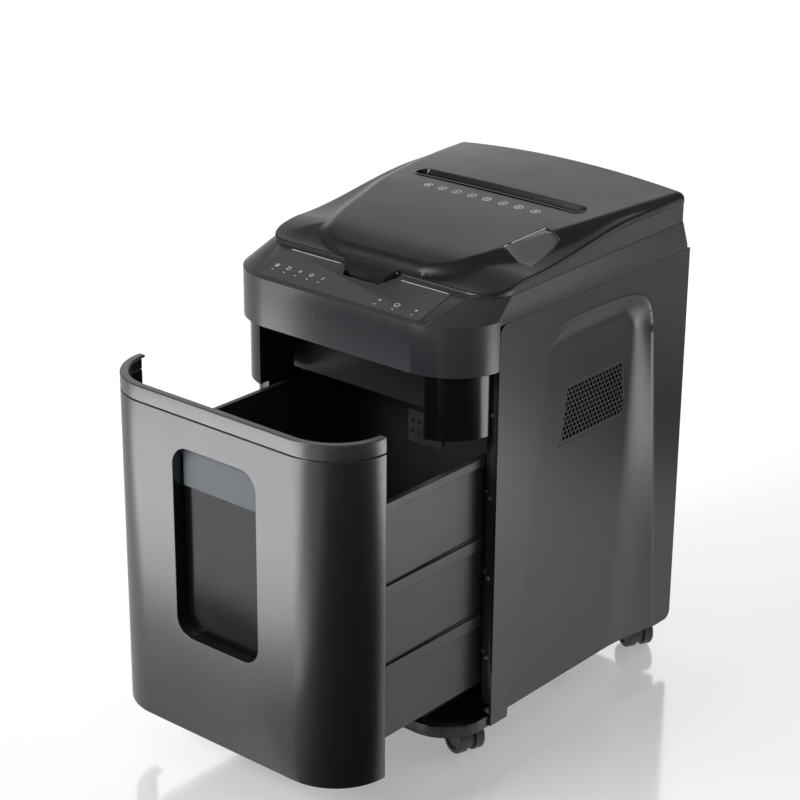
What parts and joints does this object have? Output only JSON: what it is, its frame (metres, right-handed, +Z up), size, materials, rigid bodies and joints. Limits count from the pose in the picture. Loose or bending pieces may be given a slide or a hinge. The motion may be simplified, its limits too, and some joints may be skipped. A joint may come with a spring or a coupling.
{
  "type": "paper shredder",
  "caption": "Auto-feed office paper shredder with hinged lid and feed slot, touch strip, pull-out bin with window, vented side panels and swivel casters.",
  "frame": {"origin": "centre of the bounding box's bottom face with the bin pulled out as at rest; Z = 0 is the floor under the casters", "axes": "+Z up, the front with the bin faces -Y, +X is the right side seen from the front"},
  "size_m": [0.335, 0.5784, 0.5585],
  "materials": {
    "cabinet_abs": "fine-grained satin black ABS",
    "bin_front_abs": "satin charcoal ABS",
    "trim_abs": "satin dark grey ABS",
    "gloss_abs": "polished black ABS",
    "bin_pp": "moulded black polypropylene",
    "inner_abs": "plain black ABS",
    "smoked_acrylic": "smoked acrylic",
    "clear_acrylic": "clear acrylic",
    "rail_acetal": "self-lubricating acetal",
    "zinc_plate": "zinc-plated sheet steel",
    "tool_steel": "ground and oiled steel",
    "gear_steel": "sintered steel",
    "gear_nylon": "natural nylon",
    "roll_rubber": "ground rubber",
    "motor_can": "zinc-passivated steel can",
    "motor_core": "varnished laminations and copper",
    "board_laminate": "green circuit laminate",
    "light_guide": "opal polycarbonate",
    "caster_nylon": "glass-filled nylon",
    "wheel_nylon": "satin nylon"
  },
  "bodies": {
    "cabinet": {"left_side_panel": "cabinet_abs", "right_side_panel": "cabinet_abs", "head_housing": "cabinet_abs", "head_collar": "cabinet_abs", "base_board": "cabinet_abs", "back_panel": "cabinet_abs", "control_strip": "gloss_abs", "left_neck_post": "gloss_abs", "right_neck_post": "gloss_abs", "head_chassis": "inner_abs", "paper_tray": "inner_abs", "left_vent_grille": "inner_abs", "right_vent_grille": "inner_abs", "interlock_switch": "inner_abs", "power_switch_frame": "inner_abs", "cord_gland": "inner_abs", "left_rail": "rail_acetal", "right_rail": "rail_acetal", "switch_bracket": "zinc_plate", "left_bearing_plate": "zinc_plate", "right_bearing_plate": "zinc_plate", "feed_guides": "zinc_plate", "front_comb": "tool_steel", "rear_comb": "tool_steel", "tie_rods": "tool_steel", "hinge_pins": "tool_steel", "motor_body": "motor_can", "control_board": "board_laminate", "indicator_lights": "light_guide"},
    "bin_drawer": {"bin_front_panel": "bin_front_abs", "bin_front_trim": "trim_abs", "bin_window_pane": "smoked_acrylic", "front_brackets": "bin_pp", "bin_body": "bin_pp", "bin_runners": "rail_acetal"},
    "lid": {"lid_shell": "cabinet_abs", "lid_window": "clear_acrylic", "slot_liner": "gloss_abs", "lid_liner": "inner_abs"},
    "latch": {"lid_latch": "cabinet_abs"},
    "paper_press": {"pressure_plate": "zinc_plate"},
    "front_cutter": {"front_cutter_shaft": "tool_steel", "shaft_gears": "gear_steel"},
    "rear_cutter": {"rear_cutter_shaft": "tool_steel", "rear_shaft_gears": "gear_steel"},
    "reduction": {"reduction_gear": "gear_nylon"},
    "rotor": {"motor_rotor": "motor_core"},
    "feed_idler": {"feed_idler_gear": "gear_nylon"},
    "feed_roll": {"feed_roller": "tool_steel", "feed_roll_rubbers": "roll_rubber"},
    "door_lever": {"interlock_lever": "zinc_plate"},
    "rear_rocker": {"power_rocker": "inner_abs"},
    "front_left_fork": {"front_left_caster_fork": "caster_nylon"},
    "front_left_wheels": {"front_left_caster_wheels": "wheel_nylon"},
    "front_right_fork": {"front_right_caster_fork": "caster_nylon"},
    "front_right_wheels": {"front_right_caster_wheels": "wheel_nylon"},
    "rear_left_fork": {"rear_left_caster_fork": "caster_nylon"},
    "rear_left_wheels": {"rear_left_caster_wheels": "wheel_nylon"},
    "rear_right_fork": {"rear_right_caster_fork": "caster_nylon"},
    "rear_right_wheels": {"rear_right_caster_wheels": "wheel_nylon"}
  },
  "joints": [
    {"name": "bin_slide", "type": "slide", "parent": "cabinet", "child": "bin_drawer", "axis": [0, -1, 0], "range_m": [-0.172, 0.078]},
    {"name": "lid_hinge", "type": "hinge", "parent": "cabinet", "child": "lid", "pos_m": [0, 0.2858, 0.539], "axis": [-1, 0, 0], "range_deg": [0, 75]},
    {"name": "latch_lift", "type": "hinge", "parent": "lid", "child": "latch", "pos_m": [0, -0.05513, 0.5164], "axis": [-1, 0, 0], "range_deg": [0, 8], "stiffness_Nm_per_rad": 0.05},
    {"name": "press_lift", "type": "slide", "parent": "lid", "child": "paper_press", "axis": [0, 0, 1], "range_m": [0, 0.006], "stiffness_N_per_m": 150},
    {"name": "front_cutter_spin", "type": "hinge", "parent": "cabinet", "child": "front_cutter", "pos_m": [0, 0.1368, 0.425], "axis": [1, 0, 0], "continuous": true},
    {"name": "rear_cutter_spin", "type": "hinge", "parent": "cabinet", "child": "rear_cutter", "pos_m": [0, 0.1728, 0.425], "axis": [1, 0, 0], "continuous": true},
    {"name": "reduction_spin", "type": "hinge", "parent": "cabinet", "child": "reduction", "pos_m": [-0.138, 0.20568, 0.45788], "axis": [1, 0, 0], "continuous": true},
    {"name": "rotor_spin", "type": "hinge", "parent": "cabinet", "child": "rotor", "pos_m": [-0.07, 0.22743, 0.42021], "axis": [1, 0, 0], "continuous": true},
    {"name": "feed_idler_spin", "type": "hinge", "parent": "cabinet", "child": "feed_idler", "pos_m": [0.14, 0.09968, 0.46212], "axis": [1, 0, 0], "continuous": true},
    {"name": "feed_roll_spin", "type": "hinge", "parent": "cabinet", "child": "feed_roll", "pos_m": [0, 0.06892, 0.49288], "axis": [1, 0, 0], "continuous": true},
    {"name": "door_lever_swing", "type": "hinge", "parent": "cabinet", "child": "door_lever", "pos_m": [0.097, -0.0682, 0.363], "axis": [-1, 0, 0], "range_deg": [0, 15], "stiffness_Nm_per_rad": 0.01},
    {"name": "rear_rocker_tilt", "type": "hinge", "parent": "cabinet", "child": "rear_rocker", "pos_m": [-0.08, 0.2818, 0.095], "axis": [1, 0, 0], "range_deg": [0, 10]},
    {"name": "front_left_swivel", "type": "hinge", "parent": "cabinet", "child": "front_left_fork", "pos_m": [-0.122, -0.0482, 0.04], "axis": [0, 0, 1], "continuous": true},
    {"name": "front_left_roll", "type": "hinge", "parent": "front_left_fork", "child": "front_left_wheels", "pos_m": [-0.11444, -0.05081, 0.018], "axis": [0.3256, 0.9455, 0], "continuous": true},
    {"name": "front_right_swivel", "type": "hinge", "parent": "cabinet", "child": "front_right_fork", "pos_m": [0.122, -0.0482, 0.04], "axis": [0, 0, 1], "continuous": true},
    {"name": "front_right_roll", "type": "hinge", "parent": "front_right_fork", "child": "front_right_wheels", "pos_m": [0.12956, -0.05081, 0.018], "axis": [0.3256, 0.9455, 0], "continuous": true},
    {"name": "rear_left_swivel", "type": "hinge", "parent": "cabinet", "child": "rear_left_fork", "pos_m": [-0.122, 0.2698, 0.04], "axis": [0, 0, 1], "continuous": true},
    {"name": "rear_left_roll", "type": "hinge", "parent": "rear_left_fork", "child": "rear_left_wheels", "pos_m": [-0.11494, 0.26604, 0.018], "axis": [0.4695, 0.8829, 0], "continuous": true},
    {"name": "rear_right_swivel", "type": "hinge", "parent": "cabinet", "child": "rear_right_fork", "pos_m": [0.122, 0.2698, 0.04], "axis": [0, 0, 1], "continuous": true},
    {"name": "rear_right_roll", "type": "hinge", "parent": "rear_right_fork", "child": "rear_right_wheels", "pos_m": [0.12906, 0.26604, 0.018], "axis": [0.4695, 0.8829, 0], "continuous": true}
  ],
  "couplings": [
    {"joint": "rear_cutter_spin", "follows": "front_cutter_spin", "ratio": -1},
    {"joint": "reduction_spin", "follows": "front_cutter_spin", "ratio": 3.4286},
    {"joint": "rotor_spin", "follows": "front_cutter_spin", "ratio": -13.143},
    {"joint": "feed_idler_spin", "follows": "front_cutter_spin", "ratio": -0.52174},
    {"joint": "feed_roll_spin", "follows": "front_cutter_spin", "ratio": 2}
  ]
}
